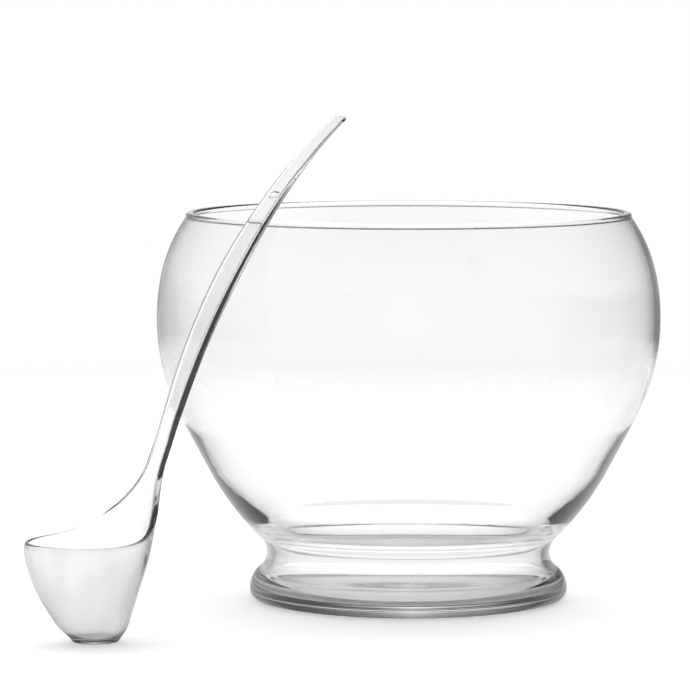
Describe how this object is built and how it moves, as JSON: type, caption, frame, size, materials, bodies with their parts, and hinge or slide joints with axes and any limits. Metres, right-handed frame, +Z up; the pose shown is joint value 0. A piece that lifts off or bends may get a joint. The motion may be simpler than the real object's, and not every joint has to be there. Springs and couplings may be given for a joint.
{
  "type": "punch bowl",
  "caption": "Clear glass punch bowl with a full belly, narrow waist and spreading hollow foot, and a one-piece clear ladle that stands beside it and leans on the rim.",
  "frame": {"origin": "centre of the ring under the foot of the bowl, level with the table", "axes": "+Z up along the axis of the bowl; -Y towards the front, where the ladle stands, on the -X side"},
  "size_m": [0.3561, 0.3559, 0.2817],
  "materials": {
    "bowl_glass": "clear, fire-polished",
    "ladle_plastic": "clear, polished"
  },
  "bodies": {
    "bowl": {"bowl": "bowl_glass"},
    "ladle": {"ladle": "ladle_plastic"}
  },
  "joints": [
    {"name": "ladle_lift_out", "type": "slide", "parent": "bowl", "child": "ladle", "axis": [0, 0, 1], "range_m": [0, 0.25]}
  ]
}
